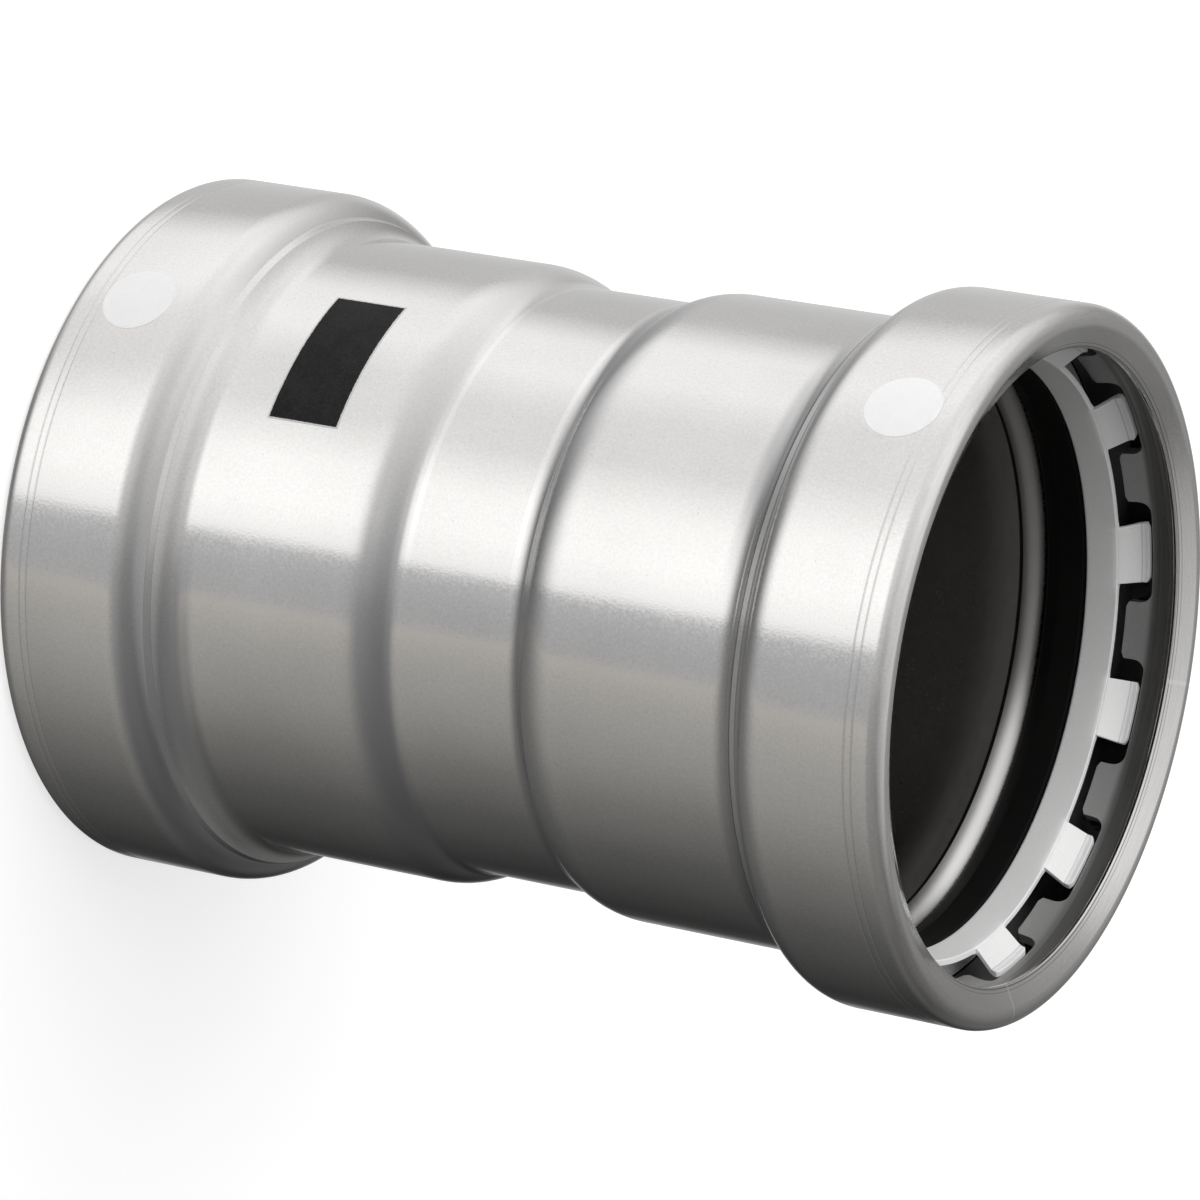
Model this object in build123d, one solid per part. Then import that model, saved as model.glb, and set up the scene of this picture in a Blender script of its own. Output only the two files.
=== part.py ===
"""Straight press-fit pipe coupling with a bead, a seal and two steel rings at each end.

The tube axis is Z and the coupling stands on its lower mouth. Lengths are in millimetres.
Every section is drawn as (radius, height), with the height measured from the mid-plane.
"""

from build123d import *
import math
import os

# Pipe, and the tube formed around it
pipe_diameter = 73.0
bore_clearance = 0.6      # between the pipe and the socket bore
wall = 2.8
overall_length = 125.0

# Waist, and the step that stops the pipe
waist_length = 15.9       # straight part between the two steps
waist_round = 3.2         # at the foot of each step
stop_height = 1.55        # the waist bore stands this far inside the pipe's surface
stop_offset = 1.1         # its inside corner lies this much nearer the mouth
step_length = 6.9         # from the straight part to the socket cylinder

# Bead, from the mouth inwards
bead_height = 5.1         # crown above the socket
bead_length = 19.1        # mouth to where the crown and shoulder lines would meet
shoulder_angle = 60.0     # between the shoulder and the tube axis
shoulder_radius = 5.0
shoulder_flat = 0.23      # straight part between that round and the crease
ledge_width = 0.9         # narrow ledge beside the crease
ledge_drop = 0.3
foot_length = 3.7         # hollow curve from the ledge to the socket

# Throat, where the socket bore meets the bead
neck_rise = 0.2           # the throat is this much tighter than the socket bore
neck_length = 1.4
neck_radius = 2.4         # round between the throat and the bead's inner end wall

# Lip at the mouth: a round, a narrow flat end, a face that slopes inwards, and a short bore
lip_outer_radius = 2.1
lip_flat = 0.5
lip_crest_radius = 0.8    # between the flat and the face
lip_face = 2.9            # width of the face across the axis
lip_slope = 26.0          # between the face and the end plane
lip_land = 0.65           # length of the bore
lip_edge_radius = 0.3

# Rings inside each bead
seat_clearance = 0.1      # between a ring and the wall around it
tab_count = 12
tab_phase = 25.0          # direction of the first tab, in degrees

grip_thickness = 1.3
grip_length = 6.6         # from the back of the lip to the ends of the teeth
grip_bend = 3.2           # the teeth start to lean inwards this far from the lip
tooth_lean = 0.6          # how far the ends of the teeth lean towards the pipe
slot_width = 14.0
slot_depth = 3.2
slot_corner_radius = 1.5

separator_gap = 0.2       # between the teeth and the separator band
separator_clearance = 0.5     # between the separator band and the pipe
separator_taper = 0.45    # lead-in of the band towards the mouth, on the radius
separator_length = 4.2
separator_thickness = 0.8
tab_angle = 11.5          # width of a tab around the axis, in degrees
tab_clearance = 0.2       # between the end of a tab and the end of its slot
tab_tip_length = 0.8

seal_clearance = 0.8      # between the seal and the pipe, before pressing
seal_lead_in = 0.6
seal_land = 3.4           # length of the seal's bore
seal_round = 0.8

# Values worked out from those
half_length = overall_length / 2
pipe_radius = pipe_diameter / 2
bore_radius = pipe_radius + bore_clearance
socket_radius = bore_radius + wall
waist_bore_radius = pipe_radius - stop_height
waist_radius = waist_bore_radius + wall
neck_bore_radius = bore_radius - neck_rise
bead_radius = socket_radius + bead_height
cavity_radius = bead_radius - wall
crest_radius = bead_radius - lip_outer_radius - lip_flat
lip_radius = crest_radius - lip_face
lean = math.radians(shoulder_angle)

step_start = waist_length / 2
step_end = step_start + step_length
step_rise = socket_radius - waist_radius
# The step is two arcs that meet where the first one, the waist round, has done its share.
round_share = waist_round * 2 * step_rise / (step_rise**2 + step_length**2)
bead_corner = half_length - bead_length
shoulder_length = shoulder_radius * math.tan(lean / 2) + shoulder_flat
crease_radius = bead_radius - shoulder_length * math.sin(lean)
crease_height = bead_corner - shoulder_length * math.cos(lean)
ledge_radius = crease_radius - ledge_drop
ledge_height = crease_height - ledge_width
foot_height = ledge_height - foot_length
lip_edge = half_length - lip_face * math.tan(math.radians(lip_slope))
lip_back = lip_edge - lip_land
cavity_round = min(max(shoulder_radius - wall, 0.5), shoulder_radius)
# The round has to end before the throat does.
neck_round = min(neck_radius, 0.99 * neck_length / math.tan(lean / 2))

ring_radius = cavity_radius - seat_clearance
tooth_end = lip_back - grip_length
slot_end = tooth_end + slot_depth
separator_front = tooth_end - separator_gap
separator_back = separator_front - separator_length
separator_radius = pipe_radius + separator_clearance
band_radius = separator_radius + separator_taper
tooth_radius = ring_radius - grip_thickness - tooth_lean


def inner_shoulder_height(radius, gap=0.0):
    """Height of the bead's inner end wall at a radius, moved towards the mouth by a gap."""
    offset = (wall + gap) / math.sin(lean)
    return bead_corner - (bead_radius - radius) / math.tan(lean) + offset


def turned(section):
    """Solid of revolution about Z from a closed (radius, height) section."""
    return revolve(Plane.XZ * section, Axis.Z)


def fitting_body():
    """The formed tube: waist, two sockets, two beads with rolled lips, all one wall."""
    neck_corner = inner_shoulder_height(neck_bore_radius)
    neck_end = neck_corner - neck_length
    step_middle = (waist_radius + step_rise * round_share, step_start + step_length * round_share)
    outside = (
        Line((waist_radius, 0), (waist_radius, step_start))
        + TangentArc((waist_radius, step_start), step_middle, tangent=(0, 1))
        + TangentArc((socket_radius, step_end), step_middle, tangent=(0, -1))
        + Line((socket_radius, step_end), (socket_radius, foot_height))
        + TangentArc((socket_radius, foot_height), (ledge_radius, ledge_height), tangent=(0, 1))
    )
    bead = FilletPolyline(
        (ledge_radius, ledge_height),
        (crease_radius, crease_height),
        (bead_radius, bead_corner),
        (bead_radius, half_length),
        (crest_radius, half_length),
        (lip_radius, lip_edge),
        (lip_radius, lip_back),
        (cavity_radius, lip_back),
        (cavity_radius, inner_shoulder_height(cavity_radius)),
        (neck_bore_radius, neck_corner),
        (neck_bore_radius, neck_end),
        (bore_radius, neck_end),
        radius=(
            0, shoulder_radius, lip_outer_radius, lip_crest_radius, lip_edge_radius,
            lip_edge_radius, 0, cavity_round, neck_round, 0,
        ),
    )
    inside = (
        Line((bore_radius, neck_end), (bore_radius, step_end))
        + TangentArc(
            (bore_radius, step_end), (waist_bore_radius, step_start + stop_offset), tangent=(0, -1)
        )
        + Line((waist_bore_radius, step_start + stop_offset), (waist_bore_radius, 0))
        + Line((waist_bore_radius, 0), (waist_radius, 0))
    )
    upper_half = turned(make_face(outside + bead + inside))
    return upper_half + mirror(upper_half, Plane.XY)


def grip_ring():
    """Toothed ring behind the lip: a band with round-ended slots between leaning teeth."""
    bend = lip_back - grip_bend
    band_inside = ring_radius - grip_thickness
    band = turned(make_face(Polyline(
        (ring_radius, lip_back),
        (band_inside, lip_back),
        (band_inside, bend),
        (tooth_radius, tooth_end),
        (tooth_radius + grip_thickness, tooth_end),
        (ring_radius, bend),
        close=True,
    )))
    # The slot runs past the ends of the teeth, so that only its far corners are round.
    slot = RectangleRounded(slot_width, 2 * slot_depth, slot_corner_radius)
    cutter_start = tooth_radius - grip_thickness
    slot_plane = Plane((cutter_start, 0, slot_end - slot_depth), x_dir=(0, 1, 0), z_dir=(1, 0, 0))
    cutter = extrude(slot_plane * slot, ring_radius + grip_thickness - cutter_start)
    return band - PolarLocations(0, tab_count, start_angle=tab_phase) * cutter


def separator_ring():
    """Thin steel ring: a flange behind, a short band, and tabs that flare into the slots."""
    tab_end = slot_end - tab_clearance
    tab_bend = tab_end - tab_tip_length
    thickness = separator_thickness
    flange = separator_back + thickness
    band = turned(make_face(Polyline(
        (separator_radius, separator_back),
        (ring_radius, separator_back),
        (ring_radius, flange),
        (separator_radius + thickness, flange),
        (band_radius + thickness, separator_front),
        (band_radius, separator_front),
        close=True,
    )))
    flare = turned(make_face(Polyline(
        (band_radius, separator_front),
        (band_radius + thickness, separator_front),
        (tooth_radius + thickness, tab_bend),
        (tooth_radius + thickness, tab_end),
        (tooth_radius, tab_end),
        (tooth_radius, tab_bend),
        close=True,
    )))
    half_angle = math.radians(tab_angle / 2)
    reach = 2 * ring_radius
    wedge = extrude(
        Plane.XY.offset(separator_front)
        * make_face(Polyline(
            (0, 0),
            (reach, -reach * math.tan(half_angle)),
            (reach, reach * math.tan(half_angle)),
            close=True,
        )),
        half_length - separator_front,
    )
    return band + flare.intersect(Compound(PolarLocations(0, tab_count, start_angle=tab_phase) * wedge))


def seal_ring():
    """Elastomer ring that fills the back of the bead, behind the separator ring."""
    seal_radius = pipe_radius + seal_clearance
    land_end = separator_back - seal_lead_in - seal_land
    back_corner = inner_shoulder_height(ring_radius, seat_clearance)
    contact_radius = seal_radius + (land_end - inner_shoulder_height(seal_radius, seat_clearance)) / 2
    section = FilletPolyline(
        (ring_radius, separator_back),
        (seal_radius + seal_lead_in, separator_back),
        (seal_radius, separator_back - seal_lead_in),
        (seal_radius, land_end),
        (contact_radius, inner_shoulder_height(contact_radius, seat_clearance)),
        (ring_radius, back_corner),
        close=True,
        radius=(0, 0, seal_lead_in / 2, seal_round, 0, cavity_round),
    )
    return turned(make_face(section))


nodes = {
    "fitting_body": fitting_body(),
    "upper_grip_ring": grip_ring(),
    "upper_separator_ring": separator_ring(),
    "upper_seal_ring": seal_ring(),
}
for name in ("grip_ring", "separator_ring", "seal_ring"):
    nodes["lower_" + name] = mirror(nodes["upper_" + name], Plane.XY)

os.makedirs("parts", exist_ok=True)
for name, shape in nodes.items():
    export_step(Pos(0, 0, half_length) * shape, f"parts/{name}.step")
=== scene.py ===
import math
from types import SimpleNamespace

import bpy
import numpy as np
from mathutils import Matrix, Vector


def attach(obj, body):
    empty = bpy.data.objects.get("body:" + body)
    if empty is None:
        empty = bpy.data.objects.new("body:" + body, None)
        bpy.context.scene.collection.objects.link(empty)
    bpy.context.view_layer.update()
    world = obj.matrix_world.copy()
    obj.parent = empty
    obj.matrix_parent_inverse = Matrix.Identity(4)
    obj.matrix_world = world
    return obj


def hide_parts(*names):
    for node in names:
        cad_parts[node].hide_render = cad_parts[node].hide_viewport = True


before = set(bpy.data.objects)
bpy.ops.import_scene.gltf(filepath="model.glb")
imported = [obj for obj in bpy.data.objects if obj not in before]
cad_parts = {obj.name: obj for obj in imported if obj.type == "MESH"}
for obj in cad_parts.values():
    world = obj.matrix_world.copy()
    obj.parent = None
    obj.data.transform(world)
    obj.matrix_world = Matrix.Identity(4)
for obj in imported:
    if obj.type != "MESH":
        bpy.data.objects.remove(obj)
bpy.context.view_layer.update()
print("stage 1: frame loaded,", len(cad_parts), "nodes")

mm = 0.001                    # metres
micrometres = 1000            # in a millimetre
fullLength = 125.0
halfLength = fullLength / 2


# Meshes.
def gridFaces(rows, columns, wrapRows=False, wrapColumns=False):
    # Quads between neighbouring rows and columns of a grid whose points are numbered row by row.
    i = np.arange(rows if wrapRows else rows - 1)[:, None]
    j = np.arange(columns if wrapColumns else columns - 1)[None, :]
    below, beside = (i + 1) % rows, (j + 1) % columns
    quad = [i * columns + j, i * columns + beside, below * columns + beside, below * columns + j]
    return np.stack(np.broadcast_arrays(*quad), axis=-1).reshape(-1, 4)


def newObject(name, points, faces, material):
    # Points in millimetres and lists of point numbers become a mesh in the scene.
    mesh = bpy.data.meshes.new(name)
    mesh.from_pydata((np.asarray(points, float).reshape(-1, 3) * mm).tolist(), [], faces)
    mesh.materials.append(material)
    made = bpy.data.objects.new(name, mesh)
    bpy.context.scene.collection.objects.link(made)
    return made


def makePiece(name, points, faces, material, nodes, smoothAngle):
    # A piece of the fitting: smooth, apart from edges sharper than the angle.
    piece = newObject(name, points, faces.tolist(), material)
    piece.data.polygons.foreach_set("use_smooth", np.ones(len(faces), bool))
    piece.data.set_sharp_from_angle(angle=math.radians(smoothAngle))
    piece.data.update()
    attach(piece, "root")
    if nodes:
        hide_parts(*nodes)
    return piece


tinyRound = 0.2               # an arc under this radius has the fewest points
fewestPoints = 3
arcStep = 8                   # degrees for each further point of an arc


def roundedLine(corners, radii):
    # Line through the corners. At each one an arc touches both legs at radius * tan(turn / 2) from the corner.
    corners = np.asarray(corners, float)
    parts = [corners[:1]]
    for before, corner, after, radius in zip(corners, corners[1:], corners[2:], radii):
        legIn = (corner - before) / np.linalg.norm(corner - before)
        legOut = (after - corner) / np.linalg.norm(after - corner)
        side = np.sign(legIn[0] * legOut[1] - legIn[1] * legOut[0])
        turn = math.acos(np.clip(legIn @ legOut, -1, 1))
        start = corner - legIn * radius * math.tan(turn / 2)
        towards = np.array([-legIn[1], legIn[0]]) * side
        further = 0 if radius < tinyRound else round(math.degrees(turn) / arcStep)
        t = np.linspace(0, turn, fewestPoints + further)[:, None]
        parts.append(start + radius * (np.sin(t) * legIn + (1 - np.cos(t)) * towards))
    parts.append(corners[-1:])
    return np.concatenate(parts)


def turnedPiece(name, profile, segments, material, node, smoothAngle):
    # Surface of revolution: the profile point (r, z) at angle t goes to (r cos t, r sin t, z).
    # A closed profile, listed anticlockwise with r to the right and z up, gives outward faces.
    t = np.arange(segments) * 2 * math.pi / segments
    r, z = profile[:, :1], profile[:, 1:]
    points = np.stack([r * np.cos(t), r * np.sin(t), z + 0 * t], axis=-1)
    faces = gridFaces(len(profile), segments, wrapRows=True, wrapColumns=True)
    makePiece(name, points, faces, material, [node], smoothAngle)


shellSmooth = 40              # degrees
bevelledFrom = 60             # degrees between two faces


def closedShell(name, near, far, faces, material, nodes, edgeRound):
    # Two matching surfaces, near and far, joined by a strip of quads along every open edge.
    count = len(near)
    a, b = faces.ravel(), np.roll(faces, -1, axis=1).ravel()
    real = a != b
    a, b = a[real], b[real]
    alone = ~np.isin(a * count + b, b * count + a)
    a, b = a[alone], b[alone]
    strip = np.stack([b, a, a + count, b + count], axis=-1)
    allFaces = np.concatenate([faces, faces[:, ::-1] + count, strip])
    piece = makePiece(name, np.concatenate([near, far]), allFaces, material, nodes, shellSmooth)
    if edgeRound:
        bevel = piece.modifiers.new("edges", "BEVEL")
        bevel.width, bevel.segments = edgeRound * mm, 2
        bevel.limit_method, bevel.angle_limit = "ANGLE", math.radians(bevelledFrom)


def joinGrids(grids):
    # Point grids (rows, columns, 3) become one list of points and one of faces.
    points, faces, first = [], [], 0
    for grid in grids:
        rows, columns = grid.shape[:2]
        points.append(grid.reshape(-1, 3))
        faces.append(gridFaces(rows, columns) + first)
        first += rows * columns
    return np.concatenate(points), np.concatenate(faces)


# Shader maths.
class Socket:
    # One output socket of a node tree. Arithmetic on it adds Math nodes.
    def __init__(self, tree, output=None):
        self.tree, self.output = tree, output

    def node(self, kind, settings=None, inputs=None, output=0):
        # Any other node: its settings come first, then the values or links of its sockets.
        made = self.tree.nodes.new(kind)
        for name, value in (settings or {}).items():
            if name == "stops":
                ramp = made.color_ramp
                while len(ramp.elements) < len(value):
                    ramp.elements.new(0.5)
                for element, (position, colour) in zip(ramp.elements, value):
                    element.position = position
                    element.color = (*([colour] * 3 if isinstance(colour, (int, float)) else colour), 1)
            else:
                setattr(made, name, value)
        for key, value in (inputs or {}).items():
            if isinstance(value, Socket):
                self.tree.links.new(value.output, made.inputs[key])
            else:
                made.inputs[key].default_value = value
        return Socket(self.tree, made.outputs[output]) if made.outputs else None

    def math(self, operation, *values, clamp=False):
        settings = {"operation": operation, "use_clamp": clamp}
        return self.node("ShaderNodeMath", settings, dict(enumerate(values)))

    def __add__(self, other): return self.math("ADD", self, other)
    def __radd__(self, other): return self.math("ADD", other, self)
    def __sub__(self, other): return self.math("SUBTRACT", self, other)
    def __rsub__(self, other): return self.math("SUBTRACT", other, self)
    def __mul__(self, other): return self.math("MULTIPLY", self, other)
    def __rmul__(self, other): return self.math("MULTIPLY", other, self)
    def __truediv__(self, other): return self.math("DIVIDE", self, other)
    def __rtruediv__(self, other): return self.math("DIVIDE", other, self)

    def step(self, low, high, start=0.0, end=1.0):
        # Rises smoothly from start to end as the value goes from low to high.
        inputs = {"Value": self, "From Min": low, "From Max": high, "To Min": start, "To Max": end}
        return self.node("ShaderNodeMapRange", {"interpolation_type": "SMOOTHSTEP"}, inputs)

    def band(self, middle, width):
        # 1 within half the width of the middle, with soft sides.
        return self.step(middle - width, middle - width / 2) * self.step(middle + width, middle + width / 2)

    def most(self, other):
        return self.math("MAXIMUM", self, other)

    def mix(self, first, second):
        # Colour mix, with this value as the share of the second colour.
        return self.node("ShaderNodeMix", {"data_type": "RGBA"}, {0: self, 6: first, 7: second}, 2)

    def tint(self, colour, share, paint):
        # Lays a paint over the colour where this mask is, to at most the share.
        return (self * share).mix(colour, (*paint, 1))


def newMaterial(name):
    made = bpy.data.materials.new(name)
    made.use_nodes = True
    made.node_tree.nodes.clear()
    return made, Socket(made.node_tree)


def principled(start, inputs):
    shader = start.node("ShaderNodeBsdfPrincipled", None, inputs)
    start.node("ShaderNodeOutputMaterial", None, {"Surface": shader})


def place(start):
    # Where on the piece, in millimetres: the point, its parts, its distance from the axis, and its height above or
    # below the middle of the tube, which is alike at both ends.
    metres = start.node("ShaderNodeTexCoord", output="Object")
    point = start.node("ShaderNodeVectorMath", {"operation": "SCALE"}, {0: metres, "Scale": 1 / mm})
    x, y, z = (start.node("ShaderNodeSeparateXYZ", None, {0: point}, axis) for axis in range(3))
    radius = start.math("SQRT", x * x + y * y)
    height = start.math("ABSOLUTE", z - halfLength)
    return SimpleNamespace(point=point, x=x, y=y, z=z, radius=radius, height=height)


def noise(start, point, scale, detail, rough):
    # Noise about 0.5, with scale in features per millimetre.
    return start.node("ShaderNodeTexNoise", None, {
        "Vector": point, "Scale": scale, "Detail": detail, "Roughness": rough,
    })


def bump(start, relief, distance):
    # Distance is the real height of the pattern in millimetres.
    return start.node("ShaderNodeBump", None, {"Distance": distance * mm, "Height": relief})


roundScale = 0.012            # features per millimetre round the axis, in turned marks


def turnedMarks(start, at, along, scale, detail):
    # Noise that changes with radius and along the axis, and only slowly round it.
    point = start.node("ShaderNodeCombineXYZ", None, {
        0: at.x * roundScale, 1: at.y * roundScale, 2: (along + at.radius) * scale,
    })
    return noise(start, point, 1.0, detail, 0.5)


speckSoft = 0.4               # share of a speck's size that is solid
speckSpread = 0.4             # how slow the noise is that keeps some specks, against their own scale
speckEdge = 0.02


def specks(start, point, scale, size, amount):
    # Small round spots at the points of a cell pattern, kept where a slow noise is above the amount.
    cell = start.node("ShaderNodeTexVoronoi", None, {"Vector": point, "Scale": scale})
    kept = noise(start, point, scale * speckSpread, 0, 0.5)
    return cell.step(size, size * speckSoft) * kept.step(amount - speckEdge, amount + speckEdge)


# Metals.
steelGrain = {                # scale, detail and roughness of each noise, and scale, size and amount of the specks
    "cloud": (0.045, 2, 0.6), "fine": (2.8, 1, 0.8), "turned": (2.4, 1), "specks": (0.6, 0.075, 0.5),
}


def steelMaterial(name, look, places):
    # Steel with a cloud, a fine grain, turned marks and specks. The places then change it where the piece differs.
    made, start = newMaterial(name)
    at = place(start)
    cloud = noise(start, at.point, *steelGrain["cloud"])
    fine = noise(start, at.point, *steelGrain["fine"])
    turned = turnedMarks(start, at, at.z, *steelGrain["turned"])
    speck = specks(start, at.point, *steelGrain["specks"])
    shade = (cloud - 0.5) * look["cloud"] + (fine - 0.5) * look["speckle"]
    colour = start.math("ADD", shade, 0.5, clamp=True).mix((*look["dark"], 1), (*look["light"], 1))
    colour = speck.tint(colour, look["specks"], look["speckColour"])
    rough = (cloud - 0.5) * look["roughCloud"] + (turned - 0.5) * look["roughTurned"]
    rough = rough + (fine - 0.5) * look["roughFine"] + look["roughness"]
    colour, rough, metallic = places(start, at, colour, rough, look["metallic"])
    principled(start, {
        "Base Color": colour, "Metallic": metallic, "Roughness": rough, "Normal": bump(start, fine, look["relief"]),
    })
    return made


tubeSteel = {
    "dark": (0.665, 0.656, 0.643), "light": (0.785, 0.775, 0.760), "cloud": 1.0, "speckle": 1.3,
    "specks": 0.5, "speckColour": (0.36, 0.35, 0.33), "metallic": 1.0, "relief": 0.0065,
    "roughness": 0.12, "roughCloud": 0.07, "roughTurned": 0.04, "roughFine": 0.25,
}
tubeEdges = {
    # Soft edges: a mask is 0 at the first value and 1 at the second, or runs between the other two values given.
    # Lines have a middle and a width.
    "wallMiddle": (8.0, 15.0, 36.4, 38.7), "boreSkin": (-0.3, 0.3), "boreEnd": (39.5, 37.0),
    "throatSkin": (39.0, 38.0), "throatStart": (40.3, 40.5), "throatSide": (16.0, -3.0, 0.02, 0.57),
    "rimSkin": (37.6, 37.3), "rimStart": (33.0, 40.0), "rimEnd": (40.6, 40.4), "rimLine": (40.25, 0.34),
    "paintedLightPatchSide": (-2.0, 14.0), "paintedLightPatchFar": (17.0, 29.0), "paintedLightPatchSkin": (36.8, 37.6, 0.30, 1.0),
    "hollowSkin": (41.9, 42.1), "hollowOutside": (43.0, 42.7), "hollowFront": (60.4, 59.4),
    "hollowBack": (45.0, 46.0),
    "lipStart": (60.5, 61.0), "lipOutside": (44.9, 44.6), "lipLight": (42.0, 28.0), "lipDark": (26.0, 42.0),
    "innerLine": (39.75, 0.10), "outerLine": (40.2, 0.07), "linesStart": (60.5, 60.8),
    "shoulderSkin": (41.8, 42.2), "shoulderStart": (41.6, 42.0), "shoulderEnd": (45.2, 43.6),
    "stopSkin": (37.2, 37.6), "stopStart": (7.5, 9.5), "stopEnd": (15.5, 10.5),
    "stopLine": (7.5, 0.5), "stopLineSide": (10.0, -8.0),
    "footSkin": (39.7, 39.9), "footStart": (36.0, 37.5), "footEnd": (41.9, 41.6),
    "footSide": (0.05, -0.40), "footBack": (-0.9, -0.65), "paintedHighlightSide": (0.5, 0.9), "streaks": (0.62, 0.40),
}
tubeTints = {                 # largest share of each tint, and its colour. Most are painted shade and painted highlights.
    "crease": (1.0, (0.36, 0.36, 0.37)), "paintedHighlight": (0.35, (0.95, 0.94, 0.93)),
    "stopLine": (0.28, (0.93, 0.925, 0.92)), "lipLight": (0.4, (0.88, 0.87, 0.855)),
    "lipDark": (0.4, (0.36, 0.35, 0.34)), "throat": (1.0, (0.14, 0.135, 0.125)),
    "paintedLightPatch": (1.0, (0.92, 0.91, 0.895)), "bore": (0.42, (0.12, 0.11, 0.09)), "black": (1.0, (0.01, 0.01, 0.01)),
    "lipLines": (0.7, (0.10, 0.09, 0.08)), "streaks": (0.14, (0.48, 0.47, 0.455)),
    "scars": (0.3, (0.97, 0.965, 0.955)),
}
tubeWearAndPaintedLight = {
    "reach": 40.0, "shoulderShade": (0.38, 0.5), "stopShade": (0.50, 0.55), "footShade": 0.55,
    "hollowBlack": 0.9, "rimBlack": 0.95, "outerLineShare": 0.6, "paintedLightPatchDull": 0.95,
    "streakScale": (6.0, 3.0, 9.0), "streakNoise": (1.0, 2.0, 0.7), "scars": ((1.605, 0.010), (0.175, 0.007)),
    "throatRough": 0.40, "rimRough": 0.38, "boreRough": 0.20, "streakRough": 0.15,
}


def tubePlaces(start, at, colour, rough, metallic):
    # Where the tube differs from place to place: painted shade and painted highlights that stand in for light, and
    # real brushed streaks and weld scars. Each mask is a product of soft edges in height and radius.
    e, t, w = tubeEdges, tubeTints, tubeWearAndPaintedLight
    x, y, radius, height = at.x, at.y, at.radius, at.height

    # Side runs from -1 to 1 across the tube, and the other way round at the other end. Painted shade darkens the
    # creases along it.
    side = start.math("SIGN", at.z - halfLength) * x / w["reach"]
    shoulder = radius.step(*e["shoulderSkin"]) * height.step(*e["shoulderStart"]) * height.step(*e["shoulderEnd"])
    stop = radius.step(*e["stopSkin"]) * height.step(*e["stopStart"]) * height.step(*e["stopEnd"])
    foot = radius.step(*e["footSkin"]) * height.step(*e["footStart"]) * height.step(*e["footEnd"])

    def shaded(level, slope):
        return (level - side * slope).most(0.0)

    crease = shoulder * shaded(*w["shoulderShade"]) + stop * shaded(*w["stopShade"])
    crease = crease + foot * side.step(*e["footSide"]) * side.step(*e["footBack"]) * w["footShade"]
    colour = crease.tint(colour, *t["crease"])
    # Painted highlights: the shoulders and steps are lighter on one side, and a light line runs beside each step of
    # the waist.
    colour = ((shoulder + stop) * side.step(*e["paintedHighlightSide"])).tint(colour, *t["paintedHighlight"])
    stopLine = height.band(*e["stopLine"]) * radius.step(*e["stopSkin"]) * x.step(*e["stopLineSide"])
    colour = stopLine.tint(colour, *t["stopLine"])

    # Painted light and shade: the lip is lighter on one side and darker on the other, and the throat is painted
    # darker, most on one side, and is dull, with a pale, less metallic patch beside the seal that is painted light.
    lip = height.step(*e["lipStart"]) * radius.step(*e["lipOutside"])
    colour = (lip * x.step(*e["lipLight"])).tint(colour, *t["lipLight"])
    colour = (lip * x.step(*e["lipDark"])).tint(colour, *t["lipDark"])
    throat = radius.step(*e["throatSkin"]) * height.step(*e["throatStart"])
    colour = (throat * x.step(*e["throatSide"])).tint(colour, *t["throat"])
    paintedLightPatch = throat * x.step(*e["paintedLightPatchSide"]) * y.step(*e["paintedLightPatchFar"]) * radius.step(*e["paintedLightPatchSkin"])
    colour = paintedLightPatch.tint(colour, *t["paintedLightPatch"])

    # Painted shade: the bore is darkened, and the hollow of the bead and the line where the throat meets the bore are
    # painted nearly black.
    bore = (height.step(*e["wallMiddle"]) - radius).step(*e["boreSkin"]) * height.step(*e["boreEnd"])
    rim = radius.step(*e["rimSkin"]) * height.step(*e["rimStart"]) * height.step(*e["rimEnd"])
    rimLine = radius.step(*e["rimSkin"]) * height.band(*e["rimLine"])
    hollow = radius.step(*e["hollowSkin"]) * radius.step(*e["hollowOutside"])
    hollow = hollow * height.step(*e["hollowFront"]) * height.step(*e["hollowBack"])
    colour = bore.tint(colour, *t["bore"])
    colour = (hollow * w["hollowBlack"]).most(rimLine * w["rimBlack"]).tint(colour, *t["black"])

    # Two fine lines and brushed streaks run round the lip: the streaks are quick in radius and slow in angle.
    lines = radius.band(*e["innerLine"]).most(radius.band(*e["outerLine"]) * w["outerLineShare"])
    colour = (lines * height.step(*e["linesStart"])).tint(colour, *t["lipLines"])
    angle = start.math("ARCTAN2", y, x)
    outwards, upwards, around = w["streakScale"]
    along = start.node("ShaderNodeCombineXYZ", None, {0: radius * outwards + height * upwards, 1: angle * around})
    streak = noise(start, along, *w["streakNoise"])
    colour = (lip * streak.step(*e["streaks"])).tint(colour, *t["streaks"])

    # Two faint scars of the tube's long weld cross the lip.
    firstScar, secondScar = w["scars"]
    colour = (lip * angle.band(*firstScar).most(angle.band(*secondScar))).tint(colour, *t["scars"])
    rough = rough + throat * w["throatRough"] + rim * w["rimRough"] + bore * w["boreRough"]
    rough = rough + lip * (streak - 0.5) * w["streakRough"]
    return colour, rough, metallic - paintedLightPatch * w["paintedLightPatchDull"]


gripSteel = {
    "dark": (0.36, 0.36, 0.365), "light": (0.46, 0.455, 0.45), "cloud": 1.0, "speckle": 1.2,
    "specks": 0.3, "speckColour": (0.20, 0.20, 0.20), "metallic": 0.85, "relief": 0.008,
    "roughness": 0.40, "roughCloud": 0.12, "roughTurned": 0.06, "roughFine": 0.10,
}
gripWearAndPaintedLight = {
    "back": (56.6, 57.6), "wornAndPaintedLight": (2.0, 26.0), "lineMarks": (1.6, 2), "line": (0.54, 0.66),
    "dullMarks": (0.9, 1), "dull": (0.50, 0.38), "backShade": (0.52, 0.22), "lineSmooth": 0.08,
    "wornAndPaintedLightTint": (0.55, (0.80, 0.795, 0.785)), "backTint": (1.0, (0.17, 0.165, 0.16)),
    "lineTint": (0.4, (0.55, 0.55, 0.54)), "dullTint": (0.4, (0.07, 0.065, 0.06)),
}


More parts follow.
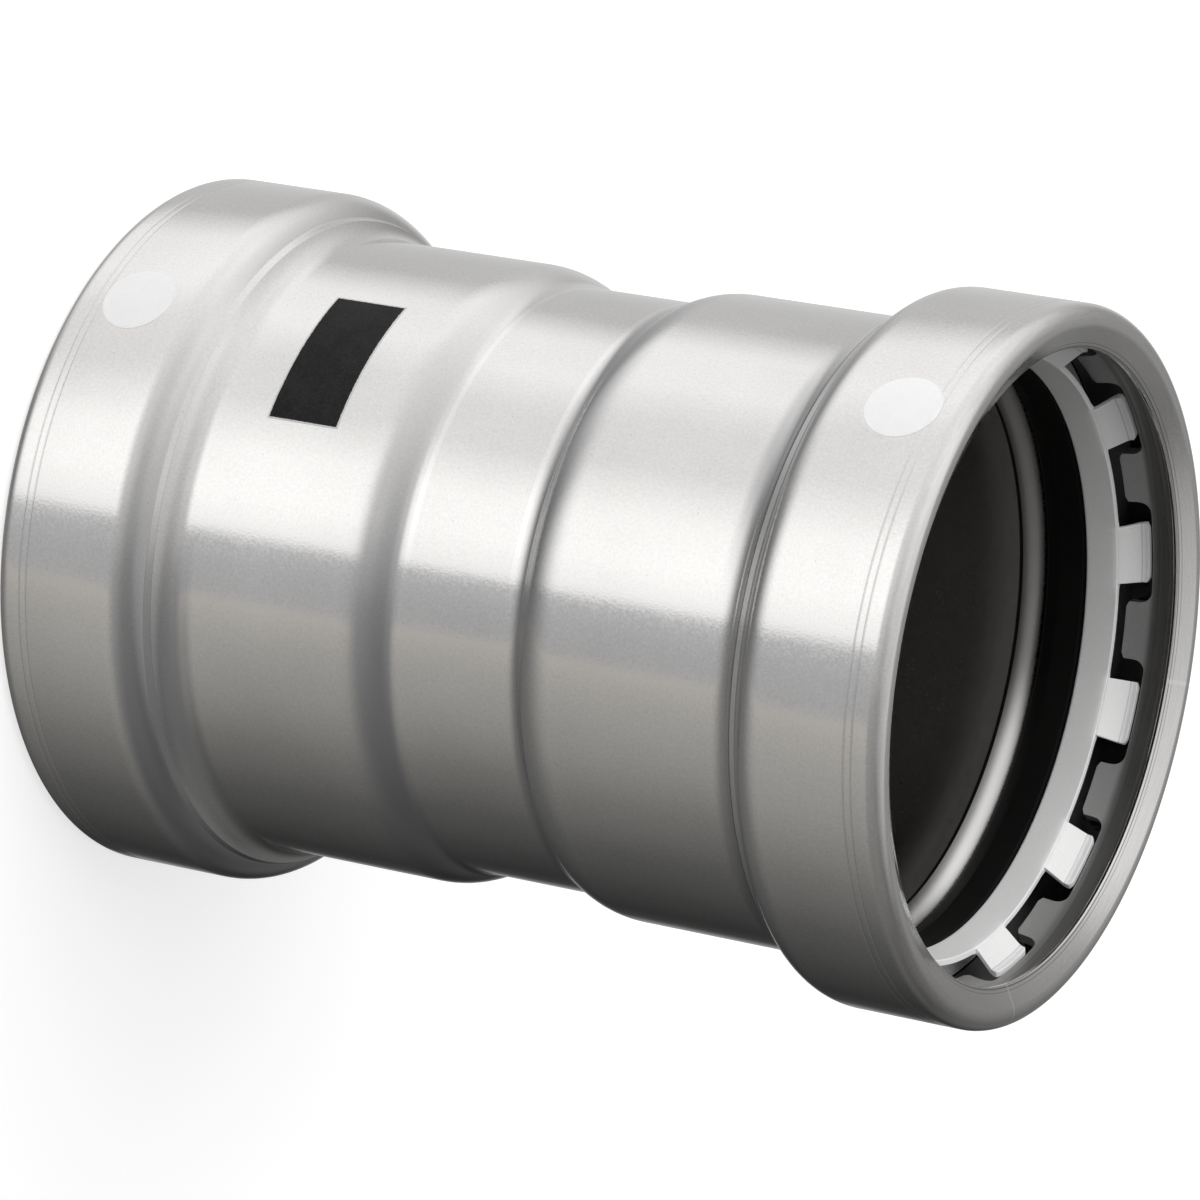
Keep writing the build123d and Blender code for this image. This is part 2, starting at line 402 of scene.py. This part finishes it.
def gripPlaces(start, at, colour, rough, metallic):
    # Painted shade: the band behind the lip is darker than the teeth, less so on one side. Painted light: the ring is
    # lighter on that side. Fine worn lines run round the band.
    w = gripWearAndPaintedLight
    back = at.height.step(*w["back"])
    line = turnedMarks(start, at, at.height, *w["lineMarks"]).step(*w["line"])
    dull = turnedMarks(start, at, at.height, *w["dullMarks"]).step(*w["dull"])
    wornAndPaintedLight = at.x.step(*w["wornAndPaintedLight"])
    most, less = w["backShade"]
    colour = wornAndPaintedLight.tint(colour, *w["wornAndPaintedLightTint"])
    colour = (back * (most - wornAndPaintedLight * less)).tint(colour, *w["backTint"])
    colour = (line * back).tint(colour, *w["lineTint"])
    colour = (dull * back).tint(colour, *w["dullTint"])
    return colour, rough - line * back * w["lineSmooth"], metallic


separatorSteel = {
    "dark": (0.84, 0.84, 0.835), "light": (0.92, 0.92, 0.915), "cloud": 1.0, "speckle": 1.0,
    "specks": 0.4, "speckColour": (0.42, 0.42, 0.40), "metallic": 0.22, "relief": 0.008,
    "roughness": 0.46, "roughCloud": 0.08, "roughTurned": 0.06, "roughFine": 0.08,
}
separatorPaintedLight = {
    "tab": (39.2, 39.8), "crease": (55.95, 0.10), "tip": (56.4, 56.75), "band": (38.8, 38.4), "front": (53.6, 0.16),
    "creaseTint": (0.5, (0.40, 0.40, 0.41)), "tipTint": (0.8, (0.97, 0.97, 0.98)),
    "frontTint": (0.8, (1.0, 1.0, 1.0)),
}


def separatorPlaces(start, at, colour, rough, metallic):
    # Painted shade: a thin dark line where each tab bends near its end. Painted highlights: a bright tip on each tab
    # and a bright front edge.
    w = separatorPaintedLight
    tab = at.radius.step(*w["tab"])
    colour = (tab * at.height.band(*w["crease"])).tint(colour, *w["creaseTint"])
    colour = (tab * at.height.step(*w["tip"])).tint(colour, *w["tipTint"])
    colour = (at.radius.step(*w["band"]) * at.height.band(*w["front"])).tint(colour, *w["frontTint"])
    return colour, rough, metallic


rubber = {
    "cloud": (0.08, 3, 0.6), "fine": (4.0, 2, 0.6), "dark": (0.005, 0.005, 0.005), "light": (0.010, 0.0095, 0.009),
    "specular": 0.10, "roughness": 0.50, "roughCloud": 0.2, "roughFine": 0.1, "relief": 0.004,
}


def rubberMaterial(name):
    made, start = newMaterial(name)
    at = place(start)
    cloud = noise(start, at.point, *rubber["cloud"])
    fine = noise(start, at.point, *rubber["fine"])
    rough = (cloud - 0.5) * rubber["roughCloud"] + (fine - 0.5) * rubber["roughFine"] + rubber["roughness"]
    principled(start, {
        "Base Color": cloud.mix((*rubber["dark"], 1), (*rubber["light"], 1)), "Roughness": rough,
        "Specular IOR Level": rubber["specular"], "Normal": bump(start, fine, rubber["relief"]),
    })
    return made


stainless = steelMaterial("satinStainless", tubeSteel, tubePlaces)
gripMetal = steelMaterial("darkSpringSteel", gripSteel, gripPlaces)
separatorMetal = steelMaterial("paleSheetSteel", separatorSteel, separatorPlaces)
sealRubber = rubberMaterial("sealRubber")
print("stage 2: metals and rubber made")

# Formed tube.
tube = {
    "waist": 37.75, "waistCorner": 8.947, "waistRound": 3.2, "socket": 39.9, "stepCorner": 12.062, "stepRound": 8.94,
    "footCorner": 39.69, "footRound": 4.28, "ledge": (42.0, 40.94), "ledgeRound": 0.4, "crease": (42.3, 41.84),
    "creaseRound": 0.3, "bead": 45.0, "beadCorner": 43.4, "shoulderRound": 5.0, "lipOuterRound": 2.1,
    "crest": 42.4, "crestRound": 1.5, "lipBore": 39.5, "lipEdge": 61.086, "lipEdgeRound": 0.3, "lipBack": 60.436,
    "cavity": 42.2, "cavityCorner": 45.017, "lipBackRound": 0.15, "cavityRound": 2.2,
    "throat": 36.9, "throatCorner": 41.957, "throatRound": 2.4, "throatEnd": 40.557, "throatEndRound": 0.08,
    "bore": 37.1, "stopCorner": 11.55, "stopRound": 8.2, "waistBore": 34.95, "stopFoot": 9.05, "stopFootRound": 0.6,
    "crownLines": (57.75, 58.75), "lineWidth": 0.15, "lineDepth": 0.04, "lineRound": 0.03,
    "segments": 304, "smooth": 30,
}


def tubeSection():
    # Half section from the middle of the waist, over the bead and the lip, and back inside: corners with rounds.
    s = tube
    outside = [
        ((s["waist"], 0), 0), ((s["waist"], s["waistCorner"]), s["waistRound"]),
        ((s["socket"], s["stepCorner"]), s["stepRound"]), ((s["socket"], s["footCorner"]), s["footRound"]),
        (s["ledge"], s["ledgeRound"]), (s["crease"], s["creaseRound"]),
        ((s["bead"], s["beadCorner"]), s["shoulderRound"]),
    ]
    scribed = [
        ((s["bead"] - sink * s["lineDepth"], height + offset * s["lineWidth"]), s["lineRound"])
        for height in s["crownLines"] for offset, sink in ((-1, 0), (0, 1), (1, 0))
    ]
    inside = [
        ((s["bead"], halfLength), s["lipOuterRound"]), ((s["crest"], halfLength), s["crestRound"]),
        ((s["lipBore"], s["lipEdge"]), s["lipEdgeRound"]), ((s["lipBore"], s["lipBack"]), s["lipEdgeRound"]),
        ((s["cavity"], s["lipBack"]), s["lipBackRound"]), ((s["cavity"], s["cavityCorner"]), s["cavityRound"]),
        ((s["throat"], s["throatCorner"]), s["throatRound"]), ((s["throat"], s["throatEnd"]), s["throatEndRound"]),
        ((s["bore"], s["throatEnd"]), s["throatEndRound"]), ((s["bore"], s["stopCorner"]), s["stopRound"]),
        ((s["waistBore"], s["stopFoot"]), s["stopFootRound"]), ((s["waistBore"], 0), 0),
    ]
    corners = outside + scribed + inside
    return roundedLine([point for point, size in corners], [size for point, size in corners[1:-1]])


upperHalf = tubeSection()
lowerHalf = (upperHalf * [1, -1])[::-1]
tubeProfile = np.concatenate([upperHalf[:-1], lowerHalf[:-1]]) + [0, halfLength]
turnedPiece("formedTube", tubeProfile, tube["segments"], stainless, "fitting_body", tube["smooth"])
print("stage 3: tube,", len(tubeProfile), "profile points")

# Rings inside each bead.
tabCount = 12
pitch = 2 * math.pi / tabCount
firstTab = math.radians(25)


def fromUpperMouth(points):
    # Depths below the upper mouth become heights above the lower one.
    return points * [1, 1, -1] + [0, 0, fullLength]


def fromLowerMouth(points):
    return points


def softRise(x, width):
    # Zero below 0 and x above it, with the corner eased over the width.
    return (x + np.sqrt(x * x + width * width)) / 2


def cornerRise(distance, radius):
    # How far a quarter-round corner pulls an edge back at a distance from its side.
    d = np.clip(radius - distance, 0, radius)
    return radius - np.sqrt(radius * radius - d * d)


def crowded(count):
    # From 0 to 1, closer together near 0: 1 - cos of even steps of a quarter turn.
    return 1 - np.cos(np.linspace(0, 1, count) * math.pi / 2)


def roundPoints(radius, angle, depth):
    # Points at a radius, an angle about the axis and a depth.
    return np.stack(np.broadcast_arrays(radius * np.cos(angle), radius * np.sin(angle), depth), axis=-1)


def repeated(grids):
    # The grids of one pitch, turned to all twelve places.
    out = []
    for k in range(tabCount):
        c, s = math.cos(k * pitch), math.sin(k * pitch)
        out += [grid @ np.array([[c, s, 0], [-s, c, 0], [0, 0, 1]]) for grid in grids]
    return out


def merged(points, faces, other):
    # Merges points closer than a micrometre, and keeps the matching points of the other surface.
    keys = np.round(points * micrometres).astype(np.int64)
    first, index = np.unique(keys, axis=0, return_index=True, return_inverse=True)[1:]
    return points[first], index.reshape(-1)[faces], other[first]


grip = {
    "outer": 42.1, "thickness": 1.3, "front": 2.064, "flatEnd": 4.8, "bend": 5.264, "end": 8.664, "lean": 0.6,
    "bendEase": 0.3, "slotEnd": 5.464, "slotHalf": 7.0, "slotRound": 1.5, "tipRound": 0.35, "edge": 0.10,
    "slotColumns": 15, "toothColumns": 11, "bandRows": 6, "toothRows": 7,
}


def gripSurface(side):
    # Two grids for one pitch: the band down to the edge of the slot, and the tooth below it. The radius falls by
    # the slope of the teeth past the bend. Side is 0 on the face towards the pipe and 1 towards the bead.
    s = grip
    meanRadius = s["outer"] - s["thickness"] / 2
    slotHalf = math.asin(s["slotHalf"] / meanRadius)
    toothHalf = pitch / 2 - slotHalf
    slotSide = toothHalf + slotHalf * crowded(s["slotColumns"])
    toothColumns = np.linspace(-toothHalf, toothHalf, s["toothColumns"])
    columns = np.concatenate([-slotSide[:0:-1], toothColumns, slotSide[1:]])
    intoSlot = (np.abs(columns) - toothHalf) * meanRadius
    root = s["slotEnd"] + s["slotRound"]
    edge = np.where(intoSlot > 1e-9, s["slotEnd"] + cornerRise(intoSlot, s["slotRound"]), root)
    t = np.linspace(0, 1, s["bandRows"])[:, None]
    flat = s["front"] + t * (s["flatEnd"] - s["front"]) + 0 * columns
    bandDepth = np.concatenate([flat, s["flatEnd"] + t[1:] * (edge - s["flatEnd"])])
    fromSide = (toothHalf - np.abs(toothColumns)) * meanRadius
    tip = s["end"] - cornerRise(fromSide, s["tipRound"])
    toothDepth = root + np.linspace(0, 1, s["toothRows"])[:, None] * (tip - root)
    slope = s["lean"] / (s["end"] - s["bend"])
    face = s["outer"] - s["thickness"] * (1 - side)

    def bent(depth, angle):
        radius = face - slope * softRise(depth - s["bend"], s["bendEase"])
        return roundPoints(radius, angle + firstTab + pitch / 2, depth)

    return [bent(bandDepth, columns), bent(toothDepth, toothColumns)]


separator = {
    "outer": 42.1, "bore": 37.0, "front": 8.864, "back": 13.064, "taper": 0.45, "thickness": 0.8, "tabHalf": 5.75,
    "tabBend": 6.464, "tabEnd": 5.664, "tabRadius": 40.2, "rootEase": 0.35, "bendEase": 0.25, "tipRound": 0.3,
    "backRound": (0.3, 0.2), "edge": 0.08, "rootReach": 1.0, "flangeDepth": 1.2, "bandCrowd": 1.5,
    "besideColumns": 12, "tabColumns": 13, "bandRows": 12, "tabRows": 14,
}


def separatorSurface(side):
    # Two grids for one pitch: flange and band, and a tab. The flare adds radius in front of the band's edge, and
    # fades on the band itself within the reach of a tab's root. Side is as for the grip ring.
    s = separator
    thick = s["thickness"] * side
    tabHalf = math.radians(s["tabHalf"])
    beside = tabHalf + (pitch / 2 - tabHalf) * crowded(s["besideColumns"])
    tabColumns = np.linspace(-tabHalf, tabHalf, s["tabColumns"])
    columns = np.concatenate([-beside[:0:-1], tabColumns, beside[1:]])
    corners = [
        (s["outer"], s["back"] - thick), (s["bore"] + thick, s["back"] - thick),
        (s["bore"] + s["taper"] + thick, s["front"]),
    ]
    path = roundedLine(corners, [s["backRound"][side]])
    share = np.linspace(1, 0, s["bandRows"])[:, None] ** s["bandCrowd"]
    straight = path[-1] + (path[-2] - path[-1]) * share
    path = np.concatenate([path[:-1], straight[1:]])
    radius, depth = path[:, :1], path[:, 1:]
    bandSlope = s["taper"] / (s["back"] - s["front"])
    tabSlope = (s["tabRadius"] - s["bore"] - s["taper"]) / (s["front"] - s["tabBend"])

    def flare(at):
        return (tabSlope - bandSlope) * softRise(s["front"] - at, s["rootEase"])

    away = np.clip((np.abs(columns) - tabHalf) * s["bore"] / s["rootReach"], 0, 1)
    nearTab = 1 - away ** 2 * (3 - 2 * away)
    onBand = depth < s["back"] - s["flangeDepth"]
    bandRadius = radius + flare(depth) * nearTab * onBand
    bandDepth = depth + 0 * columns
    fromSide = (tabHalf - np.abs(tabColumns)) * s["tabRadius"]
    tip = s["tabEnd"] + cornerRise(fromSide, s["tipRound"])
    tabDepth = s["front"] + np.linspace(0, 1, s["tabRows"])[:, None] * (tip - s["front"])
    tabRadius = s["bore"] + s["taper"] + thick + bandSlope * (s["front"] - tabDepth) + flare(tabDepth)
    tabRadius = tabRadius - tabSlope * softRise(s["tabBend"] - tabDepth, s["bendEase"])
    return [
        roundPoints(bandRadius, columns + firstTab, bandDepth),
        roundPoints(tabRadius, tabColumns + firstTab, tabDepth),
    ]


def ringPiece(name, surface, edgeRound, material, node, fromMouth, flip):
    nearPoints, faces = joinGrids(repeated(surface(0)))
    farPoints = joinGrids(repeated(surface(1)))[0]
    nearPoints, faces, farPoints = merged(nearPoints, faces, farPoints)
    if flip:
        faces = faces[:, ::-1]
    closedShell(name, fromMouth(nearPoints), fromMouth(farPoints), faces, material, [node], edgeRound)


# Depth and height run opposite ways at the upper mouth, so the faces of one end are listed the other way round.
for label, fromMouth, flip in (("upper", fromUpperMouth, False), ("lower", fromLowerMouth, True)):
    ringPiece(label + "ToothedRing", gripSurface, grip["edge"], gripMetal,
              label + "_grip_ring", fromMouth, flip)
    ringPiece(label + "TabbedRing", separatorSurface, separator["edge"], separatorMetal,
              label + "_separator_ring", fromMouth, not flip)

seal = {
    "outer": 42.1, "middle": 47.0, "front": 49.436, "frontRound": 0.25, "bore": 37.3, "leadIn": 0.6,
    "leadRound": 0.3, "landEnd": 45.436, "landRound": 0.5, "contact": (38.35, 42.92), "contactRound": 0.8,
    "backCorner": 45.07, "backRound": 2.2, "segments": 256, "smooth": 35,
}


def sealSection():
    # Closed section of the seal, in radius and height.
    s = seal
    corners = [
        ((s["outer"], s["middle"]), 0), ((s["outer"], s["front"]), s["frontRound"]),
        ((s["bore"] + s["leadIn"], s["front"]), s["frontRound"]),
        ((s["bore"], s["front"] - s["leadIn"]), s["leadRound"]), ((s["bore"], s["landEnd"]), s["landRound"]),
        (s["contact"], s["contactRound"]), ((s["outer"], s["backCorner"]), s["backRound"]),
        ((s["outer"], s["middle"]), 0),
    ]
    return roundedLine([point for point, size in corners], [size for point, size in corners[1:-1]])[:-1]


upperSeal = sealSection()
lowerSeal = (upperSeal * [1, -1])[::-1]
for name, section, node in (("upperSeal", upperSeal, "upper_seal_ring"), ("lowerSeal", lowerSeal, "lower_seal_ring")):
    turnedPiece(name, section + [0, halfLength], seal["segments"], sealRubber, node, seal["smooth"])
print("stage 4: rings and seals made")

# Printed marks. A place is an angle about the tube in degrees and a height above its lower mouth.
marks = {
    "dotRadius": 4.8, "lowerDot": (234.8, 9.6), "upperDot": (232.1, 116.5), "label": (234.95, 36.7),
    "labelAcross": 20.5, "labelUp": 10.2, "film": 0.03, "sink": 0.25, "points": 41,
}
ink = {
    "cloud": (0.35, 3, 0.6), "fine": (3.0, 3, 0.7), "cloudShare": 0.4, "fineShare": 0.6, "wear": (0.35, 0.7),
    "roughness": 0.5, "roughCloud": 0.15, "roughFine": 0.1, "relief": 0.003,
    "line": 0.22, "lineSoft": 0.05, "lineWaver": 0.2, "lineColour": (0.62, 0.62, 0.62),
}
dotInk = {"fresh": (0.88, 0.88, 0.885), "wornAndPaintedLight": (0.92, 0.92, 0.925), "specular": 0.3, "edged": False}
fieldInk = {"fresh": (0.007, 0.007, 0.0075), "wornAndPaintedLight": (0.022, 0.0215, 0.021), "specular": 0.12, "edged": True}


def inkMaterial(name, look):
    made, start = newMaterial(name)
    at = place(start)
    cloud = noise(start, at.point, *ink["cloud"])
    fine = noise(start, at.point, *ink["fine"])
    wear = (cloud * ink["cloudShare"] + fine * ink["fineShare"]).step(*ink["wear"])
    paint = wear.mix((*look["fresh"], 1), (*look["wornAndPaintedLight"], 1))
    if look["edged"]:
        # A pale line runs round the field. Across is the arc from its middle, up is the height from it.
        turn, middle = math.radians(marks["label"][0]), marks["label"][1]
        c, s = math.cos(turn), math.sin(turn)
        side = start.math("ARCTAN2", at.y * c - at.x * s, at.x * c + at.y * s) * tube["socket"]
        across = start.math("ABSOLUTE", side) - marks["labelAcross"] / 2
        up = start.math("ABSOLUTE", at.z - middle) - marks["labelUp"] / 2
        line = across.most(up) + (fine - 0.5) * ink["lineWaver"]
        edge = line.step(-ink["line"] - ink["lineSoft"], -ink["line"] + ink["lineSoft"])
        paint = edge.tint(paint, 1.0, ink["lineColour"])
    rough = (cloud - 0.5) * ink["roughCloud"] + (fine - 0.5) * ink["roughFine"] + ink["roughness"]
    principled(start, {
        "Base Color": paint, "Specular IOR Level": look["specular"], "Roughness": rough,
        "Normal": bump(start, fine, ink["relief"]),
    })
    return made


def outerRadius(z):
    # Outer radius of the tube at a height above the lower mouth, read from the section.
    outside = upperHalf[: int(np.argmax(upperHalf[:, 1] >= halfLength - 1e-6)) + 1]
    order = np.argsort(outside[:, 1], kind="stable")
    return np.interp(np.abs(z - halfLength), outside[order, 1], outside[order, 0])


def printedMark(name, across, up, middle, material):
    # Film on the tube: across is measured round it and up along it, and the underside lies in the steel.
    z = middle[1] + up
    radius = outerRadius(z)
    angle = math.radians(middle[0]) + across / outerRadius(middle[1])
    near = roundPoints(radius + marks["film"], angle, z).reshape(-1, 3)
    far = roundPoints(radius - marks["sink"], angle, z).reshape(-1, 3)
    closedShell(name, near, far, gridFaces(*z.shape), material, [], 0)


# A square grid becomes a disc with x = u sqrt(1 - v v / 2) and y = v sqrt(1 - u u / 2).
u, v = np.meshgrid(*[np.linspace(-1, 1, marks["points"])] * 2)
discAcross, discUp = u * np.sqrt(1 - v * v / 2) * marks["dotRadius"], v * np.sqrt(1 - u * u / 2) * marks["dotRadius"]
dotPaint = inkMaterial("dotPaint", dotInk)
labelInk = inkMaterial("labelInk", fieldInk)
printedMark("lowerDot", discAcross, discUp, marks["lowerDot"], dotPaint)
printedMark("upperDot", discAcross, discUp, marks["upperDot"], dotPaint)
fieldAcross, fieldUp = u * marks["labelAcross"] / 2, v * marks["labelUp"] / 2
printedMark("labelField", fieldAcross, fieldUp, marks["label"], labelInk)
print("stage 5: printed marks made")

# Floor, light and camera.
studio = {
    "floorRadius": 6000.0, "floorZ": -0.05, "standRadius": 44.0, "standZ": -0.03, "sides": 96, "rings": 24,
    "floorGlow": 0.64, "floorColour": 0.615,
    "lampTurn": 200.0, "lampRise": 42.0, "lampDistance": 900.0, "lampSize": 1300.0, "lampPower": 5.2,
}


def disc(name, radius, z, material):
    # Flat rings of points about the axis, wider apart further out, with a fan of triangles in the middle.
    t = np.arange(studio["sides"]) * 2 * math.pi / studio["sides"]
    r = (radius * np.linspace(0, 1, studio["rings"]) ** 2)[1:, None]
    points = np.stack([r * np.cos(t), r * np.sin(t), z + 0 * r * t], axis=-1).reshape(-1, 3)
    faces = gridFaces(studio["rings"] - 1, studio["sides"], wrapColumns=True)
    side = np.arange(studio["sides"])
    fan = np.stack([side, (side + 1) % studio["sides"], np.full(studio["sides"], len(points))], axis=-1)
    made = newObject(name, np.vstack([points, [0, 0, z]]), faces[:, ::-1].tolist() + fan.tolist(), material)
    return made


def floorMaterial(name):
    # Plain paint that glows a little for the camera alone, so that the floor looks white and keeps its shadow.
    made, start = newMaterial(name)
    paint = start.node("ShaderNodeBsdfDiffuse", None, {"Color": (*[studio["floorColour"]] * 3, 1)})
    glow = start.node("ShaderNodeEmission", None, {"Color": (1, 1, 1, 1), "Strength": studio["floorGlow"]})
    seen = start.node("ShaderNodeLightPath", output="Is Camera Ray")
    both = start.node("ShaderNodeAddShader", None, {0: paint, 1: glow})
    shader = start.node("ShaderNodeMixShader", None, {0: seen, 1: paint, 2: both})
    start.node("ShaderNodeOutputMaterial", None, {"Surface": shader})
    return made


paleFloor = floorMaterial("paleFloor")
floor = disc("floor", studio["floorRadius"], studio["floorZ"], paleFloor)
floor.visible_glossy = False
floor.visible_shadow = False
disc("stand", studio["standRadius"], studio["standZ"], paleFloor)

surroundings = {
    # Degrees round from the front (-Y) towards -X, with the brightness or colour there, at three rises.
    "below": [
        (-180, 0.70), (-171, 0.36), (-160, 0.05), (-148, 0.035), (-130, 0.06), (-105, 0.11),
        (-82, (0.203, 0.20, 0.193)), (-60, (0.345, 0.34, 0.327)), (-40, (0.45, 0.442, 0.424)),
        (-31, (0.52, 0.505, 0.48)), (-27.5, (0.58, 0.555, 0.53)), (-25, (0.475, 0.475, 0.48)),
        (-15, (0.50, 0.505, 0.52)), (-5, (0.60, 0.605, 0.62)), (-1.5, 1.2), (12, 1.36), (28, 1.32), (48, 0.98),
        (66, 0.98), (84, 1.18), (106, 1.12), (124, 0.64), (145, 0.62), (165, 0.66), (180, 0.70),
    ],
    "level": [
        (-180, 0.26), (-160, 0.18), (-132, 0.11), (-96, 0.16), (-59, 0.26), (-20, 0.40), (-4, 0.60), (12, 0.80),
        (28, 0.84), (45, 0.90), (78, 1.02), (98, 1.05), (115, 0.88), (134, 0.60), (150, 0.38), (180, 0.26),
    ],
    "above": [
        (-180, 0.34), (-150, 0.20), (-110, 0.16), (-80, 0.22), (-40, 0.29), (-20, 0.36), (0, 0.54), (40, 0.82),
        (78, 1.0), (109, 0.86), (130, 0.68), (150, 0.46), (165, 0.36), (180, 0.34),
    ],
    # Brightness of the ceiling and of the floor: a level, and its change along X and Y.
    "top": (0.66, -0.70, 0.08), "under": (0.23, -0.05, 0.0),
    # Rise in degrees over which each takes over.
    "levelRise": (-20, 4), "aboveRise": (10, 34), "topRise": (42, 64), "underRise": (-30, -84),
}


def studioWorld(name):
    # Soft surroundings: a broad bright side at -X, a straight edge in front at -Y, and a dark side at +X.
    world = bpy.data.worlds.new(name)
    bpy.context.scene.world = world
    world.use_nodes = True
    world.node_tree.nodes.clear()
    start = Socket(world.node_tree)
    s = surroundings
    way = start.node("ShaderNodeTexCoord", output="Generated")
    x, y, z = (start.node("ShaderNodeSeparateXYZ", None, {0: way}, axis) for axis in range(3))
    turn = start.math("ARCTAN2", 0 - x, 0 - y) / (2 * math.pi) + 0.5          # 0.5 in front, 0.75 at -X
    rise = start.math("ARCSINE", z) * math.degrees(1)

    def around(stops):
        return start.node("ShaderNodeValToRGB", {"stops": [((a + 180) / 360, b) for a, b in stops]}, {0: turn})

    def grey(level, alongX, alongY):
        value = level + x * alongX + y * alongY
        return start.node("ShaderNodeCombineColor", None, {0: value, 1: value, 2: value})

    light = rise.step(*s["levelRise"]).mix(around(s["below"]), around(s["level"]))
    light = rise.step(*s["aboveRise"]).mix(light, around(s["above"]))
    light = rise.step(*s["topRise"]).mix(light, grey(*s["top"]))
    light = rise.step(*s["underRise"]).mix(light, grey(*s["under"]))
    seen = start.node("ShaderNodeLightPath", output="Is Camera Ray")
    shader = start.node("ShaderNodeBackground", None, {"Color": seen.mix(light, (1, 1, 1, 1)), "Strength": 1.0})
    start.node("ShaderNodeOutputWorld", None, {"Surface": shader})


def softLamp(name):
    # Large lamp high on the bright side. It lights matt surfaces only, as the metal mirrors the world instead.
    data = bpy.data.lights.new(name, "AREA")
    data.shape, data.size, data.energy = "DISK", studio["lampSize"] * mm, studio["lampPower"]
    turn, rise = math.radians(studio["lampTurn"]), math.radians(studio["lampRise"])
    way = Vector((math.cos(turn) * math.cos(rise), math.sin(turn) * math.cos(rise), math.sin(rise)))
    lamp = bpy.data.objects.new(name, data)
    bpy.context.scene.collection.objects.link(lamp)
    lamp.location = Vector((0, 0, halfLength * mm)) + way * studio["lampDistance"] * mm
    lamp.rotation_euler = way.to_track_quat("Z", "Y").to_euler()
    lamp.visible_glossy = lamp.visible_camera = False


shot = {
    "lens": 194.607, "sensor": 36.0, "elevation": 28.310, "roll": 100.104, "distance": 820.472,
    "across": 0.660, "down": -1.039, "nearest": 0.01, "furthest": 50.0,
}


def shotCamera(name):
    # The camera looks along +Y from above, turned about its own axis so that the tube lies across the picture.
    data = bpy.data.cameras.new(name)
    data.lens, data.sensor_width = shot["lens"], shot["sensor"]
    data.clip_start, data.clip_end = shot["nearest"], shot["furthest"]
    e, r = math.radians(shot["elevation"]), math.radians(shot["roll"])
    level, rising = np.array([1, 0, 0]), np.array([0, math.sin(e), math.cos(e)])
    right = math.cos(r) * level + math.sin(r) * rising
    up = -math.sin(r) * level + math.cos(r) * rising
    back = np.array([0, -math.cos(e), math.sin(e)])
    spot = np.array([0, 0, halfLength]) - shot["across"] * right + shot["down"] * up + shot["distance"] * back
    camera = bpy.data.objects.new(name, data)
    bpy.context.scene.collection.objects.link(camera)
    matrix = np.eye(4)
    matrix[:3] = np.stack([right, up, back, spot * mm], axis=1)
    camera.matrix_world = Matrix(matrix.tolist())
    bpy.context.scene.camera = camera


studioWorld("studio")
softLamp("softLamp")
shotCamera("camera")
bpy.context.scene.view_settings.view_transform = "Standard"
print("stage 6: floor, light and camera set")
